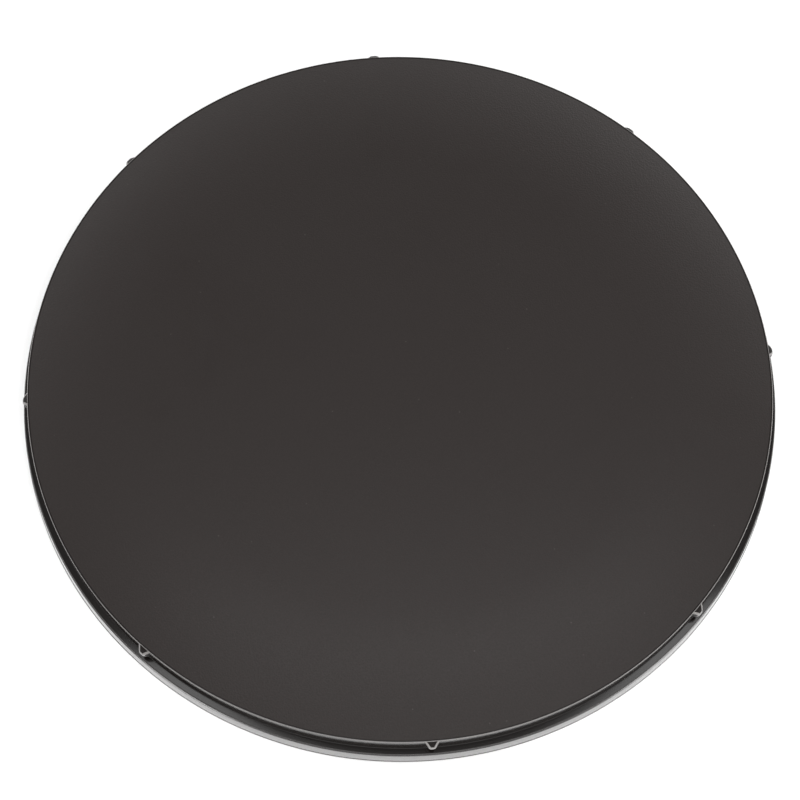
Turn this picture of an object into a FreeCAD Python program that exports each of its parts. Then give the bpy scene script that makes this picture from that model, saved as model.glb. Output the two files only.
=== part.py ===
"""Front dust cover of a Schmidt-Cassegrain telescope, plug side up.

The cover lies as it does on a table: its side band stands on z = 0, and the plug that goes
into the mouth of the tube points up. The Z axis is the cover's centre line. All sizes in mm.
"""
import FreeCAD, Part
import math
import os

os.makedirs("parts", exist_ok=True)

# ---- driving dimensions -------------------------------------------------------------------

# plug: the round part that goes into the mouth of the tube
PLUG_R = 112.9          # outer radius of the plug wall
PLUG_H = 6.8            # from the shelf up to the top of the plug
WALL_T = 2.6            # thickness of the plug wall
RIM_ROUND = 0.3         # rounding of the plug's top edge
FOOT_ROUND = 0.15       # hollow rounding where the plug wall meets the shelf

# shelf: the step that meets the front of the tube
SHELF_W = 1.9           # how far the shelf stands out from the plug wall
SHELF_T = 1.0           # thickness of the shelf
SHELF_ROUND = 0.2       # rounding of the shelf's upper edge
SHELF_UNDER_ROUND = 0.15

# side band under the shelf, which is also the foot of the cover
BAND_H = 5.0
BAND_STEP = 0.3         # the band's top edge stands this far outside the shelf
BAND_FLARE = 0.3        # draft: the band is this much larger in radius at its foot
BAND_ROUND = 0.2
LIP_OUT = 0.2           # a thin lip at the foot stands this far outside the band
LIP_H = 0.35
LIP_ROUND = 0.08

# spigot: the plug wall carried down inside the band
SPIGOT_H = 4.2
SPIGOT_INSET = 0.4      # the spigot is this much smaller in radius than the plug wall
SPIGOT_GAP = 0.1        # radial clearance between spigot and band

# face plate, set into the top of the plug
PLATE_LIP_T = 0.55      # the plate's thin edge, which lies in the rim's rabbet
PLATE_BODY_T = 1.6      # the plate's thicker middle, which drops inside the plug wall
RABBET_DEPTH = 0.6
RIM_LAND = 0.2          # flat left on the rim's top between the plate and the rounding
PLATE_GAP = 0.05        # radial clearance round the plate's lip
BODY_GAP = 0.1          # radial clearance round the plate's middle

# stiffening on the hidden side of the plate
BEAD_RING_R = 80.0      # centre line of the ring bead
BEAD_W = 4.0
BEAD_H = 1.0
ROUNDEL_R = 34.0
ROUNDEL_T = 0.8
ROUNDEL_CHAMFER = 0.4

# friction nubs round the plug
NUB_COUNT = 8
NUB_BASE_W = 4.2        # width of a nub where it meets the wall
NUB_TIP_W = 1.6         # width of a nub's tip before it is rounded
NUB_OUT = 1.6           # how far a nub stands out of the wall, halfway down it
NUB_H = 4.6             # a nub's height; seen from the side it is an arc from top to bottom
NUB_DROP = 0.1          # the nub's top lies this far under the plug's top
NUB_ROUND = 0.5         # rounding along both edges of the arc
TONGUE_W = 2.4          # the tongue holds the nub in a pocket in the wall
TONGUE_H = 2.4
TONGUE_IN = 1.5
TONGUE_GAP = 0.05       # clearance round the tongue

# ---- levels and radii that follow ---------------------------------------------------------

Z_SHELF_UNDER = BAND_H
Z_SHELF = Z_SHELF_UNDER + SHELF_T
Z_TOP = Z_SHELF + PLUG_H
Z_RABBET = Z_TOP - RABBET_DEPTH
Z_SPIGOT = Z_SHELF_UNDER - SPIGOT_H
Z_PLATE_UNDER = Z_RABBET - PLATE_BODY_T

WALL_IN_R = PLUG_R - WALL_T
SHELF_R = PLUG_R + SHELF_W
SPIGOT_R = PLUG_R - SPIGOT_INSET
RABBET_R = PLUG_R - RIM_ROUND - RIM_LAND
PLATE_R = RABBET_R - PLATE_GAP
BODY_R = WALL_IN_R - BODY_GAP
BAND_TOP_R = SHELF_R + BAND_STEP
BAND_FOOT_R = BAND_TOP_R + BAND_FLARE
BAND_IN_R = SPIGOT_R + SPIGOT_GAP
LIP_R = BAND_FOOT_R + LIP_OUT
NUB_R = PLUG_R + NUB_OUT
Z_NUB_MIDDLE = Z_TOP - NUB_DROP - NUB_H / 2
NUB_ARC_R = (NUB_OUT ** 2 + (NUB_H / 2) ** 2) / (2 * NUB_OUT)

ORIGIN = FreeCAD.Vector(0, 0, 0)
UP = FreeCAD.Vector(0, 0, 1)
TOLERANCE = 1e-4


# ---- helpers ------------------------------------------------------------------------------

def turned(outline):
    """A solid of revolution about Z from (radius, height) corners."""
    corners = [FreeCAD.Vector(r, 0, z) for r, z in outline]
    wire = Part.makePolygon(corners + corners[:1])
    return Part.Face(wire).revolve(ORIGIN, UP, 360)


def circles(shape, radius, height):
    """The shape's round edges of one radius at one height."""
    found = []
    for edge in shape.Edges:
        if not isinstance(edge.Curve, Part.Circle):
            continue
        same_radius = abs(edge.Curve.Radius - radius) < TOLERANCE
        same_height = abs(edge.Curve.Center.z - height) < TOLERANCE
        if same_radius and same_height:
            found.append(edge)
    return found


def plug_cylinder(radius, z_low, z_high):
    """A cylinder about Z; the seam of its side lies between two nubs."""
    cylinder = Part.makeCylinder(radius, z_high - z_low, FreeCAD.Vector(0, 0, z_low))
    cylinder.rotate(ORIGIN, UP, 180 / NUB_COUNT)
    return cylinder


def centred_slab(x_low, x_high, width, z_low, z_high):
    corner = FreeCAD.Vector(x_low, -width / 2, z_low)
    return Part.makeBox(x_high - x_low, width, z_high - z_low, corner)


def round_the_plug(shape):
    """One copy of the shape at each nub's place."""
    copies = []
    for i in range(NUB_COUNT):
        copy = shape.copy()
        copy.rotate(ORIGIN, UP, 360 * i / NUB_COUNT)
        copies.append(copy)
    return copies


def save(name, shape):
    assert shape.isValid() and len(shape.Solids) == 1, name
    shape.Solids[0].exportStep("parts/%s.step" % name)


# ---- rim ring: plug wall, shelf and spigot in one moulding --------------------------------

def rim_ring():
    """The ring with a pocket for each nub; the seam of the turned shape lies between two nubs."""
    ring = turned([
        (WALL_IN_R, Z_SPIGOT),
        (SPIGOT_R, Z_SPIGOT),
        (SPIGOT_R, Z_SHELF_UNDER),
        (SHELF_R, Z_SHELF_UNDER),
        (SHELF_R, Z_SHELF),
        (PLUG_R, Z_SHELF),
        (PLUG_R, Z_TOP),
        (RABBET_R, Z_TOP),
        (RABBET_R, Z_RABBET),
        (WALL_IN_R, Z_RABBET),
    ])
    ring = ring.makeFillet(RIM_ROUND, circles(ring, PLUG_R, Z_TOP))
    ring = ring.makeFillet(FOOT_ROUND, circles(ring, PLUG_R, Z_SHELF))
    ring = ring.makeFillet(SHELF_ROUND, circles(ring, SHELF_R, Z_SHELF))
    ring = ring.makeFillet(SHELF_UNDER_ROUND, circles(ring, SHELF_R, Z_SHELF_UNDER))
    ring.rotate(ORIGIN, UP, 180 / NUB_COUNT)
    pocket = tongue_block(TONGUE_W + 2 * TONGUE_GAP, TONGUE_H + 2 * TONGUE_GAP)
    return ring.cut(round_the_plug(pocket))


# ---- face plate ---------------------------------------------------------------------------

def face_plate():
    lip = plug_cylinder(PLATE_R, Z_RABBET, Z_RABBET + PLATE_LIP_T)
    body = plug_cylinder(BODY_R, Z_PLATE_UNDER, Z_RABBET)
    roundel = turned([
        (0, Z_PLATE_UNDER),
        (ROUNDEL_R, Z_PLATE_UNDER),
        (ROUNDEL_R - ROUNDEL_CHAMFER, Z_PLATE_UNDER - ROUNDEL_T),
        (0, Z_PLATE_UNDER - ROUNDEL_T),
    ])
    bead_side = (BEAD_W - 2 * BEAD_H) / 2
    bead = turned([
        (BEAD_RING_R - BEAD_W / 2, Z_PLATE_UNDER),
        (BEAD_RING_R - bead_side, Z_PLATE_UNDER - BEAD_H),
        (BEAD_RING_R + bead_side, Z_PLATE_UNDER - BEAD_H),
        (BEAD_RING_R + BEAD_W / 2, Z_PLATE_UNDER),
    ])
    return body.fuse([lip, roundel, bead]).removeSplitter()


# ---- side band ----------------------------------------------------------------------------

def side_band():
    band = turned([
        (BAND_IN_R, 0),
        (LIP_R, 0),
        (LIP_R, LIP_H),
        (BAND_FOOT_R, LIP_H),
        (BAND_TOP_R, BAND_H),
        (BAND_IN_R, BAND_H),
    ])
    lip_edges = circles(band, LIP_R, 0) + circles(band, LIP_R, LIP_H)
    band = band.makeFillet(LIP_ROUND, lip_edges)
    return band.makeFillet(BAND_ROUND, circles(band, BAND_TOP_R, BAND_H))


# ---- friction nub -------------------------------------------------------------------------

def nub_wedge():
    """A block on the +X side with a nub's slanting sides, which run on inwards and outwards."""
    slant = (NUB_BASE_W - NUB_TIP_W) / 2 / NUB_OUT
    half_in = NUB_BASE_W / 2 + slant * TONGUE_IN
    half_out = NUB_TIP_W / 2 - slant * NUB_ROUND
    plan = [(PLUG_R - TONGUE_IN, -half_in), (NUB_R + NUB_ROUND, -half_out)]
    plan += [(x, -y) for x, y in reversed(plan)]
    low = Z_NUB_MIDDLE - NUB_ARC_R
    corners = [FreeCAD.Vector(x, y, low) for x, y in plan]
    return Part.Face(Part.makePolygon(corners + corners[:1])).extrude(UP * 2 * NUB_ARC_R)


def nub_arc():
    """A ring of half-round section about the plug, whose outside is every nub's outside."""
    low = FreeCAD.Vector(NUB_R - NUB_ARC_R, 0, Z_NUB_MIDDLE - NUB_ARC_R)
    out = FreeCAD.Vector(NUB_R, 0, Z_NUB_MIDDLE)
    high = FreeCAD.Vector(NUB_R - NUB_ARC_R, 0, Z_NUB_MIDDLE + NUB_ARC_R)
    section = Part.Wire([Part.Arc(low, out, high).toShape(), Part.makeLine(high, low)])
    ring = Part.Face(section).revolve(ORIGIN, UP, 360)
    ring.rotate(ORIGIN, UP, 180)
    return ring


def tongue_block(width, height):
    """A block inside the plug wall, on the +X side, level with the middle of the nub."""
    z_low = Z_NUB_MIDDLE - height / 2
    slab = centred_slab(PLUG_R - TONGUE_IN, NUB_R, width, z_low, z_low + height)
    return slab.common(plug_cylinder(PLUG_R, Z_SHELF_UNDER, Z_TOP))


def friction_nub():
    bump = nub_wedge().common(nub_arc())
    arc_edges = [edge for edge in bump.Edges if edge.BoundBox.XMax > NUB_R - NUB_ROUND]
    bump = bump.makeFillet(NUB_ROUND, arc_edges)
    head = bump.cut(plug_cylinder(PLUG_R, Z_SHELF_UNDER, Z_TOP + NUB_H))
    return head.fuse(tongue_block(TONGUE_W, TONGUE_H)).removeSplitter()


save("rim_ring", rim_ring())
save("face_plate", face_plate())
save("side_band", side_band())
for number, nub in enumerate(round_the_plug(friction_nub()), start=1):
    save("friction_nub_%d" % number, nub)
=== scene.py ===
"""Looks of a telescope's push-in dust cover: fine meshes, surfaces, studio and camera.

Everything is in metres: Z is the cover's centre line, the side band stands on z = 0, and
friction nub 1 points along +X.
"""

import math

import bmesh
import bpy
from mathutils import Matrix, Vector


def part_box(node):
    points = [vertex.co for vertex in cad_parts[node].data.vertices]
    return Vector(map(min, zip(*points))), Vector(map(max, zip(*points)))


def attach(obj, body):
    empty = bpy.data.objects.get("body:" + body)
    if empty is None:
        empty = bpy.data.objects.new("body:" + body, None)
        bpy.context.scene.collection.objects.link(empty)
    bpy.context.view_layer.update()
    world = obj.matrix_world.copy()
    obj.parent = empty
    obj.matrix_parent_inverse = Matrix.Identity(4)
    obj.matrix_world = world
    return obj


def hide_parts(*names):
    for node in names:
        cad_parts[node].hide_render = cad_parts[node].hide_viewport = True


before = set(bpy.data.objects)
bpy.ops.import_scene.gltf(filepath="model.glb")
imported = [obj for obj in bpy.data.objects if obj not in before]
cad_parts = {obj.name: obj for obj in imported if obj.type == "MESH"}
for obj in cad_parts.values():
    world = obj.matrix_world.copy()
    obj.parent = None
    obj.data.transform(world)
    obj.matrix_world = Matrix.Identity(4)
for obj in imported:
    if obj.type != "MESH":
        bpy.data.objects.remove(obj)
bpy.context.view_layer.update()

# ---- sizes ---------------------------------------------------------------------------------

MM = 0.001
STEPS = 480                   # flats round a turned piece
SAME = 0.004 * MM             # two places closer than this are one
SHARP_ANGLE = math.radians(35)

# a node's box is its lowest corner and its highest one
rim_low, rim_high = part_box("rim_ring")

SHELF_T = 1.0 * MM
RABBET_DEPTH = 0.6 * MM
PLATE_BODY_T = 1.6 * MM

Z_TOP = rim_high.z
Z_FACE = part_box("face_plate")[1].z
Z_SPIGOT = rim_low.z
Z_BAND_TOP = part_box("side_band")[1].z
Z_SHELF = Z_BAND_TOP + SHELF_T
Z_RABBET = Z_TOP - RABBET_DEPTH
Z_PLATE_UNDER = Z_RABBET - PLATE_BODY_T

PLUG_R = 112.9 * MM
WALL_T = 2.6 * MM
SHELF_W = 1.9 * MM
BAND_STEP = 0.3 * MM          # the band's top edge stands this far outside the shelf
BAND_FLARE = 0.37 * MM        # the band is this much larger in radius at its foot
LIP_OUT = 0.13 * MM
LIP_H = 0.35 * MM
SPIGOT_INSET = 0.4 * MM
SPIGOT_GAP = 0.1 * MM
RIM_ROUND = 0.30 * MM         # the width kept for the rounding of the plug's top edge
RIM_LAND = 0.2 * MM           # the flat from there to the rabbet
PLATE_GAP = 0.05 * MM
BODY_GAP = 0.1 * MM

WALL_IN_R = PLUG_R - WALL_T
SHELF_R = PLUG_R + SHELF_W
SPIGOT_R = PLUG_R - SPIGOT_INSET
RABBET_R = PLUG_R - RIM_ROUND - RIM_LAND
PLATE_R = RABBET_R - PLATE_GAP
BODY_R = WALL_IN_R - BODY_GAP
BAND_TOP_R = SHELF_R + BAND_STEP
BAND_FOOT_R = BAND_TOP_R + BAND_FLARE
BAND_IN_R = SPIGOT_R + SPIGOT_GAP
LIP_R = BAND_FOOT_R + LIP_OUT

BEAD_RING_R = 80.0 * MM
BEAD_W = 4.0 * MM
BEAD_H = 1.0 * MM
ROUNDEL_R = 34.0 * MM
ROUNDEL_T = 0.8 * MM

# how wide the rounding along each edge is
THIN_EDGE = 0.03 * MM         # the plate's edge and the rabbet's, side by side
PLATE_BODY_EDGE = 0.30 * MM
BEAD_EDGE = 0.6 * MM
ROUNDEL_EDGE = 0.4 * MM
PLUG_EDGE = 0.22 * MM
PLUG_FOOT = 0.15 * MM
SHELF_EDGE = 0.20 * MM
SHELF_UNDER_EDGE = 0.15 * MM
SPIGOT_EDGE = 0.25 * MM
LIP_TOP_EDGE = 0.08 * MM
LIP_FOOT_EDGE = 0.10 * MM
BAND_TOP_EDGE = 0.12 * MM
BAND_IN_EDGE = 0.20 * MM

# how strong the painted highlight laid on an edge's rounding is, from 0 to 1
PLUG_HIGHLIGHT = 0.85
SHELF_HIGHLIGHT = 0.1
NUB_HIGHLIGHT = 1.0

NUB_COUNT = 8
NUB_BASE_W = 4.2 * MM
NUB_TIP_W = 1.6 * MM
NUB_OUT = 1.6 * MM
NUB_H = 4.6 * MM
NUB_DROP = 0.1 * MM           # the nub's top lies this far under the plug's top
NUB_ROUND = 0.5 * MM
NUB_ROOT = 0.3 * MM           # how far a nub's mesh runs into the wall
NUB_ARC_STEPS = 24
NUB_HIGHLIGHT_ARC = (-0.20, 0.45)    # the part of a nub's arc, in radians, that gets a painted highlight where it faces out most

NUB_R = PLUG_R + NUB_OUT
NUB_ARC_R = (NUB_OUT ** 2 + (NUB_H / 2) ** 2) / (2 * NUB_OUT)
NUB_LAST_TURN = math.acos((NUB_ARC_R - NUB_OUT - NUB_ROOT) / NUB_ARC_R)
NUB_SLANT = (NUB_BASE_W - NUB_TIP_W) / 2 / NUB_OUT
Z_NUB_MIDDLE = Z_TOP - NUB_DROP - NUB_H / 2


# ---- making meshes -------------------------------------------------------------------------

def turned(outline):
    """A closed ring about Z from (radius, height) corners, or a solid disc if they start at 0."""
    bm = bmesh.new()
    corners = [bm.verts.new((radius, 0, height)) for radius, height in outline]
    following = corners[1:]
    if outline[0][0] > 0:
        following = following + corners[:1]
    edges = [bm.edges.new(pair) for pair in zip(corners, following)]
    bmesh.ops.spin(
        bm, geom=corners + edges, cent=(0, 0, 0), axis=(0, 0, 1), dvec=(0, 0, 0),
        angle=2 * math.pi, steps=STEPS, use_merge=True)
    bmesh.ops.remove_doubles(bm, verts=bm.verts, dist=SAME / 10)
    return bm


def rounded(bm, edges, size, segments, edge_highlight=0.0):
    """Rounds the edges; the new faces carry how strong a painted highlight, a pale colour, they
    get.
    """
    highlight_layer = bm.faces.layers.float.get("edge_highlight") or bm.faces.layers.float.new("edge_highlight")
    made = bmesh.ops.bevel(
        bm, geom=edges, offset=size, segments=segments, profile=0.5,
        affect="EDGES", material=-1)
    for face in made["faces"]:
        face[highlight_layer] = edge_highlight


def round_circle(bm, radius, height, size, segments, edge_highlight=0.0):
    """Rounds the sharp circle at one radius and height."""
    def lies_there(vert):
        near_radius = abs(vert.co.to_2d().length - radius) < SAME
        return near_radius and abs(vert.co.z - height) < SAME

    circle = [edge for edge in bm.edges if all(lies_there(vert) for vert in edge.verts)]
    rounded(bm, circle, size, segments, edge_highlight)


def finished(bm, name, surface, replaced):
    """Makes a smooth shaded piece that stands in the place of one node."""
    bmesh.ops.remove_doubles(bm, verts=bm.verts, dist=SAME / 10)
    bmesh.ops.recalc_face_normals(bm, faces=bm.faces)
    mesh = bpy.data.meshes.new(name)
    bm.to_mesh(mesh)
    bm.free()
    mesh.shade_smooth()
    mesh.set_sharp_from_angle(angle=SHARP_ANGLE)
    mesh.materials.append(surface)
    piece = bpy.data.objects.new(name, mesh)
    bpy.context.scene.collection.objects.link(piece)
    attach(piece, "root")
    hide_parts(replaced)


# ---- node groups ---------------------------------------------------------------------------

class Tree:
    """Short hand for filling a node tree."""

    def __init__(self, tree):
        self.tree = tree

    def add(self, kind, **settings):
        node = self.tree.nodes.new(kind)
        for key, value in settings.items():
            setattr(node, key, value)
        return node

    def link(self, source, target):
        self.tree.links.new(source, target)

    def feed(self, socket, value):
        if isinstance(value, bpy.types.NodeSocket):
            self.link(value, socket)
        else:
            socket.default_value = value

    def math(self, operation, first, second=0.0):
        node = self.add("ShaderNodeMath", operation=operation)
        self.feed(node.inputs[0], first)
        self.feed(node.inputs[1], second)
        return node.outputs[0]

    def plus(self, first, second):
        return self.math("ADD", first, second)

    def times(self, first, second):
        return self.math("MULTIPLY", first, second)

    def remap(self, value, low, high, to_low=0.0, to_high=1.0, smooth=False):
        blend = "SMOOTHSTEP" if smooth else "LINEAR"
        node = self.add("ShaderNodeMapRange", interpolation_type=blend)
        self.feed(node.inputs["Value"], value)
        node.inputs["From Min"].default_value = low
        node.inputs["From Max"].default_value = high
        node.inputs["To Min"].default_value = to_low
        node.inputs["To Max"].default_value = to_high
        return node.outputs["Result"]

    def noise(self, vector, scale, detail=2.0, roughness=0.5, distortion=0.0):
        node = self.add("ShaderNodeTexNoise")
        self.link(vector, node.inputs["Vector"])
        self.feed(node.inputs["Scale"], scale)
        node.inputs["Detail"].default_value = detail
        node.inputs["Roughness"].default_value = roughness
        node.inputs["Distortion"].default_value = distortion
        return node.outputs["Fac"]

    def cells(self, vector, scale, feature):
        node = self.add("ShaderNodeTexVoronoi", feature=feature)
        self.link(vector, node.inputs["Vector"])
        self.feed(node.inputs["Scale"], scale)
        return node

    def mix_colour(self, factor, first, second):
        """In a colour mix, socket 0 is the factor, 6 and 7 are the colours and 2 is the result."""
        node = self.add("ShaderNodeMix", data_type="RGBA")
        self.feed(node.inputs[0], factor)
        self.feed(node.inputs[6], first)
        self.feed(node.inputs[7], second)
        return node.outputs[2]


def new_group(name, outputs):
    """A group that takes a place and a fineness per metre and gives out numbers."""
    group = bpy.data.node_groups.new(name, "ShaderNodeTree")
    sockets = group.interface
    sockets.new_socket("Vector", in_out="INPUT", socket_type="NodeSocketVector")
    sockets.new_socket("Fineness", in_out="INPUT", socket_type="NodeSocketFloat")
    for output in outputs:
        sockets.new_socket(output, in_out="OUTPUT", socket_type="NodeSocketFloat")
    tree = Tree(group)
    return group, tree, tree.add("NodeGroupInput").outputs, tree.add("NodeGroupOutput").inputs


def mould_grain():
    """The sparked texture of a mould: small rounded pits and bumps, and a slow unevenness."""
    group, tree, given, result = new_group("mould_grain", ["Height", "Mottle"])
    place = given["Vector"]
    bumps = tree.noise(place, given["Fineness"], detail=3.0, roughness=0.6)
    cells = tree.cells(place, tree.times(given["Fineness"], 0.8), "SMOOTH_F1")
    cells.inputs["Smoothness"].default_value = 0.6
    cells.inputs["Randomness"].default_value = 0.9
    pits = tree.remap(cells.outputs["Distance"], 0.15, 0.75)
    mottle = tree.noise(place, 55.0, detail=4.0, roughness=0.55)
    tree.link(tree.plus(tree.times(bumps, 0.55), tree.times(pits, 0.45)), result["Height"])
    tree.link(tree.remap(mottle, 0.3, 0.7), result["Mottle"])
    return group


def handling():
    """Soft smears left by hands, and a few specks of dust."""
    group, tree, given, result = new_group("handling", ["Smear", "Dust"])
    place = given["Vector"]
    broad = tree.noise(place, 14.0, detail=2.0, roughness=0.5, distortion=0.6)
    streaks = tree.noise(place, 60.0, detail=5.0, roughness=0.65, distortion=1.2)
    smear = tree.times(tree.remap(broad, 0.42, 0.68, smooth=True), tree.remap(streaks, 0.35, 0.7))
    specks = tree.cells(place, given["Fineness"], "F1")
    small = tree.remap(specks.outputs["Distance"], 0.04, 0.12, 1.0, 0.0)
    chosen = tree.add("ShaderNodeSeparateColor")
    tree.link(specks.outputs["Color"], chosen.inputs["Color"])
    few = tree.math("GREATER_THAN", chosen.outputs["Red"], 0.965)
    tree.link(smear, result["Smear"])
    tree.link(tree.times(small, few), result["Dust"])
    return group


def ring_rub():
    """Fine rubbing marks that run round the cover, strongest where the noise is high."""
    group, tree, given, result = new_group("ring_rub", ["Lines", "Rub"])
    place, fineness = given["Vector"], given["Fineness"]
    parts = tree.add("ShaderNodeSeparateXYZ")
    tree.link(place, parts.inputs["Vector"])
    x, y, z = parts.outputs
    radius = tree.math("SQRT", tree.plus(tree.times(x, x), tree.times(y, y)))
    turn = tree.math("ARCTAN2", y, x)
    across = tree.add("ShaderNodeCombineXYZ")
    tree.link(tree.times(radius, fineness), across.inputs["X"])
    tree.link(tree.times(z, fineness), across.inputs["Y"])
    tree.link(tree.times(tree.math("SINE", turn), 3.0), across.inputs["Z"])
    lines = tree.noise(across.outputs["Vector"], 1.0, detail=2.0, roughness=0.6)
    patches = tree.remap(tree.noise(place, 90.0, detail=3.0), 0.45, 0.7, smooth=True)
    tree.link(lines, result["Lines"])
    tree.link(tree.times(tree.remap(lines, 0.5, 0.75), patches), result["Rub"])
    return group


GRAIN = mould_grain()
HANDLING = handling()
RING_RUB = ring_rub()


# ---- surfaces ------------------------------------------------------------------------------

DUST = (0.30, 0.28, 0.26, 1)
FACE_DARK = (0.0096, 0.0072, 0.0065, 1)
FACE_PALE = (0.0180, 0.0140, 0.0129, 1)
FACE_MOTTLE = (0.0146, 0.0114, 0.0106, 1)
RIM_DARK = (0.0056, 0.0044, 0.0039, 1)
RIM_PALE = (0.0085, 0.0068, 0.0061, 1)
RIM_RUBBED = (0.035, 0.031, 0.029, 1)
# pale grey painted along rounded edges as their highlight
RIM_PAINTED_HIGHLIGHT = (0.160, 0.150, 0.145, 1)
# the side band's black, lifted to dark grey: partly its own colour, partly a painted reflection of
# the pale floor
BAND_DARK_WITH_PAINTED_REFLECTION = (0.0400, 0.0365, 0.0355, 1)
BAND_PALE_WITH_PAINTED_REFLECTION = (0.0520, 0.0475, 0.0462, 1)
BAND_RUBBED = (0.090, 0.083, 0.080, 1)
FLOOR_GREY = (0.93, 0.93, 0.93, 1)
FLOOR_WHITE = (0.95, 0.95, 0.95, 1)


def new_surface(name):
    """A material with its Principled BSDF, and its Object coordinates ready to use."""
    surface = bpy.data.materials.new(name)
    surface.use_nodes = True
    tree = Tree(surface.node_tree)
    shader = surface.node_tree.nodes["Principled BSDF"]
    place = tree.add("ShaderNodeTexCoord").outputs["Object"]
    return surface, tree, shader, place


def placed(tree, group, place, fineness):
    node = tree.add("ShaderNodeGroup", node_tree=group)
    tree.link(place, node.inputs["Vector"])
    node.inputs["Fineness"].default_value = fineness
    return node.outputs


def bumped(tree, shader, height, distance):
    node = tree.add("ShaderNodeBump")
    node.inputs["Strength"].default_value = 1.0
    node.inputs["Distance"].default_value = distance
    tree.link(height, node.inputs["Height"])
    tree.link(node.outputs["Normal"], shader.inputs["Normal"])


def face_plastic():
    """Matte black plastic with a fine even grain, a little paler on the tops of the grain."""
    surface, tree, shader, place = new_surface("matte_grained_black")
    grain = placed(tree, GRAIN, place, 2300.0)
    touch = placed(tree, HANDLING, place, 420.0)
    base = tree.mix_colour(grain["Height"], FACE_DARK, FACE_PALE)
    base = tree.mix_colour(tree.times(grain["Mottle"], 0.25), base, FACE_MOTTLE)
    base = tree.mix_colour(tree.times(touch["Dust"], 0.10), base, DUST)
    rough = tree.remap(grain["Height"], 0.2, 0.8, 0.49, 0.40)
    rough = tree.plus(rough, tree.times(touch["Smear"], -0.04))
    tree.link(base, shader.inputs["Base Color"])
    tree.link(rough, shader.inputs["Roughness"])
    shader.inputs["Specular IOR Level"].default_value = 0.25
    bumped(tree, shader, grain["Height"], 0.045 * MM)
    return surface


def rubbed_plastic(name, roughest, smoothest, specular):
    """Black plastic of the plug wall, shelf and nubs, with a pale painted highlight along its
    rounded edges.
    """
    surface, tree, shader, place = new_surface(name)
    grain = placed(tree, GRAIN, place, 3600.0)
    rub = placed(tree, RING_RUB, place, 5000.0)
    touch = placed(tree, HANDLING, place, 520.0)
    # how strong the painted edge highlight is on each face, made patchy below
    edge_highlight = tree.add("ShaderNodeAttribute", attribute_name="edge_highlight").outputs["Fac"]
    patchy = tree.remap(tree.noise(place, 28.0, detail=4.0), 0.3, 0.7, 0.65, 1.0)
    edge = tree.times(edge_highlight, patchy)
    base = tree.mix_colour(grain["Height"], RIM_DARK, RIM_PALE)
    base = tree.mix_colour(tree.times(rub["Rub"], 0.20), base, RIM_RUBBED)
    base = tree.mix_colour(tree.times(touch["Dust"], 0.10), base, DUST)
    # the pale painted highlight along the rounded edges; the same edges also get a glossy coat
    base = tree.mix_colour(edge, base, RIM_PAINTED_HIGHLIGHT)
    rough = tree.remap(rub["Lines"], 0.3, 0.7, roughest, smoothest)
    rough = tree.plus(rough, tree.times(grain["Mottle"], 0.03))
    tree.link(base, shader.inputs["Base Color"])
    tree.link(rough, shader.inputs["Roughness"])
    tree.link(edge, shader.inputs["Coat Weight"])
    shader.inputs["Coat Roughness"].default_value = 0.12
    shader.inputs["Specular IOR Level"].default_value = specular
    bumped(tree, shader, grain["Height"], 0.0005 * MM)
    return surface


def band_plastic():
    """Smooth semi-gloss black plastic of the side band, its base lifted to paint part of the
    floor's reflection.
    """
    surface, tree, shader, place = new_surface("semi_gloss_black")
    grain = placed(tree, GRAIN, place, 1500.0)
    rub = placed(tree, RING_RUB, place, 2600.0)
    touch = placed(tree, HANDLING, place, 480.0)
    # the band's lifted grey is partly a painted reflection of the pale floor
    base = tree.mix_colour(grain["Mottle"], BAND_DARK_WITH_PAINTED_REFLECTION, BAND_PALE_WITH_PAINTED_REFLECTION)
    base = tree.mix_colour(tree.times(rub["Rub"], 0.3), base, BAND_RUBBED)
    base = tree.mix_colour(tree.times(touch["Dust"], 0.12), base, DUST)
    rough = tree.remap(rub["Lines"], 0.3, 0.7, 0.18, 0.11)
    rough = tree.plus(rough, tree.times(touch["Smear"], 0.08))
    tree.link(base, shader.inputs["Base Color"])
    tree.link(rough, shader.inputs["Roughness"])
    shader.inputs["Specular IOR Level"].default_value = 1.0
    shader.inputs["Coat Weight"].default_value = 1.0
    shader.inputs["Coat Roughness"].default_value = 0.08
    bumped(tree, shader, rub["Lines"], 0.001 * MM)
    return surface


def floor_white():
    """A plain pale surface with a slow, barely visible unevenness."""
    surface, tree, shader, place = new_surface("white_sweep")
    tone = tree.remap(tree.noise(place, 3.0, detail=2.0), 0.3, 0.7)
    tree.link(tree.mix_colour(tone, FLOOR_GREY, FLOOR_WHITE), shader.inputs["Base Color"])
    shader.inputs["Roughness"].default_value = 0.7
    shader.inputs["Specular IOR Level"].default_value = 0.2
    return surface


FACE = face_plastic()
RIM = rubbed_plastic("satin_black", roughest=0.15, smoothest=0.10, specular=0.32)
NUB = rubbed_plastic("matte_black", roughest=0.42, smoothest=0.34, specular=0.08)
BAND = band_plastic()


# ---- pieces --------------------------------------------------------------------------------

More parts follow.
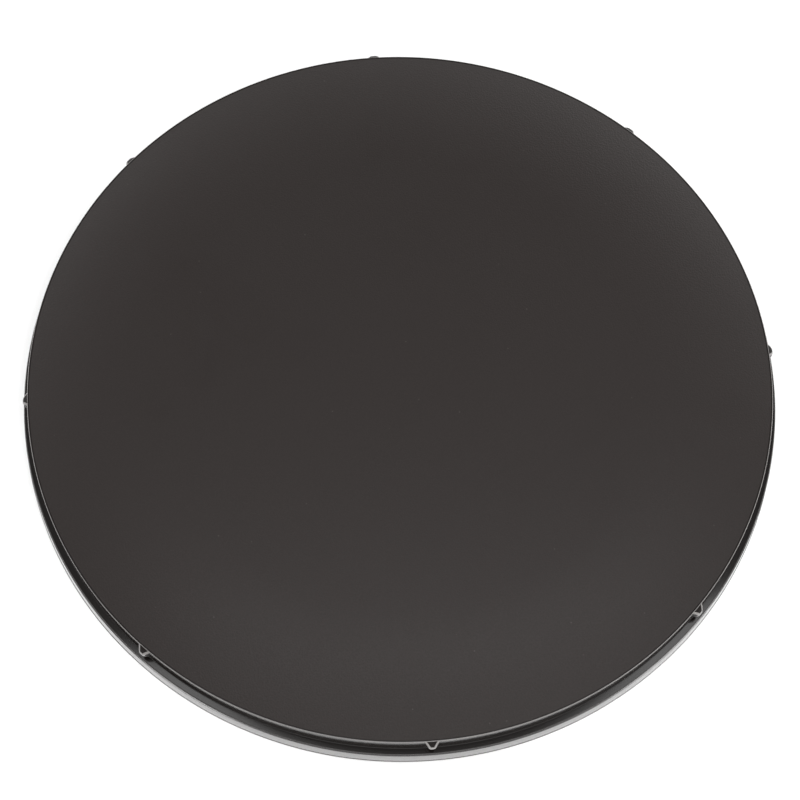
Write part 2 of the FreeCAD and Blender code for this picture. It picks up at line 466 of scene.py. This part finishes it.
def face_plate():
    """The grained plate, with a ring bead and a roundel on its hidden side."""
    bead_side = (BEAD_W - 2 * BEAD_H) / 2
    z_bead = Z_PLATE_UNDER - BEAD_H
    z_roundel = Z_PLATE_UNDER - ROUNDEL_T
    bm = turned([
        (0, Z_FACE),
        (PLATE_R / 3, Z_FACE),
        (PLATE_R * 2 / 3, Z_FACE),
        (PLATE_R, Z_FACE),
        (PLATE_R, Z_RABBET),
        (BODY_R, Z_RABBET),
        (BODY_R, Z_PLATE_UNDER),
        (BEAD_RING_R + BEAD_W / 2, Z_PLATE_UNDER),
        (BEAD_RING_R + bead_side, z_bead),
        (BEAD_RING_R - bead_side, z_bead),
        (BEAD_RING_R - BEAD_W / 2, Z_PLATE_UNDER),
        (ROUNDEL_R, Z_PLATE_UNDER),
        (ROUNDEL_R, z_roundel),
        (0, z_roundel),
    ])
    round_circle(bm, PLATE_R, Z_FACE, THIN_EDGE, segments=2)
    round_circle(bm, BODY_R, Z_PLATE_UNDER, PLATE_BODY_EDGE, segments=3)
    round_circle(bm, BEAD_RING_R + bead_side, z_bead, BEAD_EDGE, segments=5)
    round_circle(bm, BEAD_RING_R - bead_side, z_bead, BEAD_EDGE, segments=5)
    round_circle(bm, ROUNDEL_R, z_roundel, ROUNDEL_EDGE, segments=4)
    finished(bm, "grained_face_plate", FACE, "face_plate")


def rim_ring():
    """The plug wall, with the shelf outside its foot and the spigot under it."""
    bm = turned([
        (WALL_IN_R, Z_SPIGOT),
        (SPIGOT_R, Z_SPIGOT),
        (SPIGOT_R, Z_BAND_TOP),
        (SHELF_R, Z_BAND_TOP),
        (SHELF_R, Z_SHELF),
        (PLUG_R, Z_SHELF),
        (PLUG_R, Z_TOP),
        (RABBET_R, Z_TOP),
        (RABBET_R, Z_RABBET),
        (WALL_IN_R, Z_RABBET),
    ])
    # the plug's top rounding gets a strong painted highlight
    round_circle(bm, PLUG_R, Z_TOP, PLUG_EDGE, segments=7, edge_highlight=PLUG_HIGHLIGHT)
    round_circle(bm, RABBET_R, Z_TOP, THIN_EDGE, segments=2)
    round_circle(bm, PLUG_R, Z_SHELF, PLUG_FOOT, segments=4)
    # the shelf's outer rounding gets a faint painted highlight
    round_circle(bm, SHELF_R, Z_SHELF, SHELF_EDGE, segments=5, edge_highlight=SHELF_HIGHLIGHT)
    round_circle(bm, SHELF_R, Z_BAND_TOP, SHELF_UNDER_EDGE, segments=3)
    round_circle(bm, SPIGOT_R, Z_SPIGOT, SPIGOT_EDGE, segments=4)
    round_circle(bm, WALL_IN_R, Z_SPIGOT, SPIGOT_EDGE, segments=4)
    finished(bm, "moulded_rim", RIM, "rim_ring")


def side_band():
    """The band under the shelf, slightly wider at its foot, with a thin lip there."""
    bm = turned([
        (BAND_IN_R, 0),
        (LIP_R, 0),
        (LIP_R, LIP_H),
        (BAND_FOOT_R, LIP_H),
        (BAND_TOP_R, Z_BAND_TOP),
        (BAND_IN_R, Z_BAND_TOP),
    ])
    round_circle(bm, LIP_R, LIP_H, LIP_TOP_EDGE, segments=3)
    round_circle(bm, LIP_R, 0, LIP_FOOT_EDGE, segments=3)
    round_circle(bm, BAND_TOP_R, Z_BAND_TOP, BAND_TOP_EDGE, segments=4)
    round_circle(bm, BAND_IN_R, 0, BAND_IN_EDGE, segments=4)
    finished(bm, "smooth_side_band", BAND, "side_band")


def nub_turn(step):
    """The angle at one step along a nub's arc, from its top end to its bottom end."""
    return NUB_LAST_TURN * (1 - 2 * step / NUB_ARC_STEPS)


def nub_side(bm, side):
    """The corners along the arc of one slanting side, where side is -1 or 1."""
    corners = []
    for step in range(NUB_ARC_STEPS + 1):
        turn = nub_turn(step)
        inwards = NUB_ARC_R * (1 - math.cos(turn))
        half_width = NUB_TIP_W / 2 + NUB_SLANT * inwards
        height = Z_NUB_MIDDLE + NUB_ARC_R * math.sin(turn)
        corners.append(bm.verts.new((NUB_R - inwards, side * half_width, height)))
    return corners


def friction_nub(number):
    """A bump with slanting sides, an arc seen from the side, turned to its place."""
    bm = bmesh.new()
    highlight_layer = bm.faces.layers.float.new("edge_highlight")
    left = nub_side(bm, -1)
    right = nub_side(bm, 1)
    bm.faces.new(left)
    bm.faces.new(right)
    for step in range(NUB_ARC_STEPS):
        strip = bm.faces.new((left[step], left[step + 1], right[step + 1], right[step]))
        # strips on the outer part of the arc get a painted highlight
        if NUB_HIGHLIGHT_ARC[0] < nub_turn(step + 0.5) < NUB_HIGHLIGHT_ARC[1]:
            strip[highlight_layer] = NUB_HIGHLIGHT
    bm.faces.new((left[0], left[-1], right[-1], right[0]))
    bmesh.ops.recalc_face_normals(bm, faces=bm.faces)
    pairs = list(zip(left, left[1:])) + list(zip(right, right[1:]))
    arcs = [bm.edges.get(pair) for pair in pairs]
    # the nub's rounded arcs get a full painted highlight
    rounded(bm, arcs, NUB_ROUND, segments=6, edge_highlight=NUB_HIGHLIGHT)
    to_place = Matrix.Rotation(2 * math.pi * (number - 1) / NUB_COUNT, 3, "Z")
    bmesh.ops.rotate(bm, verts=bm.verts, cent=(0, 0, 0), matrix=to_place)
    finished(bm, "moulded_nub_%d" % number, NUB, "friction_nub_%d" % number)


face_plate()
rim_ring()
side_band()
for nub_number in range(1, NUB_COUNT + 1):
    friction_nub(nub_number)


# ---- floor, light and camera ---------------------------------------------------------------

FLOOR_HALF = 6.0


def floor():
    bm = bmesh.new()
    bmesh.ops.create_grid(bm, x_segments=8, y_segments=8, size=FLOOR_HALF)
    mesh = bpy.data.meshes.new("studio_floor")
    bm.to_mesh(mesh)
    bm.free()
    mesh.materials.append(floor_white())
    sheet = bpy.data.objects.new("studio_floor", mesh)
    bpy.context.scene.collection.objects.link(sheet)


def soft_light(name, place, size, power, aim=(0, 0, 0)):
    """A rectangular light of a size in metres and a power in watts, turned to face its aim."""
    data = bpy.data.lights.new(name, "AREA")
    data.shape = "RECTANGLE"
    data.size, data.size_y = size
    data.energy = power
    lamp = bpy.data.objects.new(name, data)
    bpy.context.scene.collection.objects.link(lamp)
    lamp.location = place
    lamp.rotation_mode = "QUATERNION"
    lamp.rotation_quaternion = (Vector(place) - Vector(aim)).to_track_quat("Z", "Y")


def surroundings(overhead, horizon):
    """A pale room: dimmer overhead, brighter towards the horizon."""
    world = bpy.data.worlds.new("studio")
    world.use_nodes = True
    tree = Tree(world.node_tree)
    parts = tree.add("ShaderNodeSeparateXYZ")
    tree.link(tree.add("ShaderNodeTexCoord").outputs["Generated"], parts.inputs["Vector"])
    level = tree.remap(parts.outputs["Z"], 0.15, 0.80, horizon, overhead, smooth=True)
    background = world.node_tree.nodes["Background"]
    background.inputs["Color"].default_value = (1, 1, 1, 1)
    tree.link(level, background.inputs["Strength"])
    bpy.context.scene.world = world


CAMERA_TURN = math.radians(-6.28)     # round the cover, from straight along +Y
CAMERA_RISE = math.radians(67.24)     # above the floor
CAMERA_ROLL = math.radians(1.96)
CAMERA_AWAY = 5.078 * PLUG_R          # from the point it looks at
AIM_NEARER = 0.0765 * PLUG_R          # that point lies this much nearer than the centre line
LENS_MM = 85.53
SENSOR_MM = 36.0
CLIP_NEAR = 0.01
CLIP_FAR = 50.0


def camera():
    data = bpy.data.cameras.new("camera")
    data.sensor_width = SENSOR_MM
    data.lens = LENS_MM
    data.clip_start = CLIP_NEAR
    data.clip_end = CLIP_FAR
    eye = bpy.data.objects.new("camera", data)
    bpy.context.scene.collection.objects.link(eye)
    nearer = Vector((math.sin(CAMERA_TURN), -math.cos(CAMERA_TURN), 0))
    aim = nearer * AIM_NEARER + Vector((0, 0, Z_TOP))
    back = nearer * math.cos(CAMERA_RISE) + Vector((0, 0, math.sin(CAMERA_RISE)))
    roll = Matrix.Rotation(CAMERA_ROLL, 4, "Z")
    look = (-back).to_track_quat("-Z", "Y").to_matrix().to_4x4()
    eye.matrix_world = Matrix.Translation(aim + back * CAMERA_AWAY) @ look @ roll
    bpy.context.scene.camera = eye


floor()
surroundings(overhead=0.42, horizon=2.2)
soft_light("near_panel", (0.20, -0.95, 1.30), (2.4, 1.2), 17.0)
soft_light("far_left_panel", (-1.10, 1.10, 0.60), (1.2, 0.6), 8.0)
soft_light("far_right_panel", (1.10, 1.10, 0.60), (1.2, 0.6), 8.0)
soft_light("sheen_strip", (0.02, -0.045, 0.31), (0.34, 0.07), 0.31, aim=(0.02, -0.10, 0.0))
camera()
bpy.context.scene.view_settings.view_transform = "Standard"
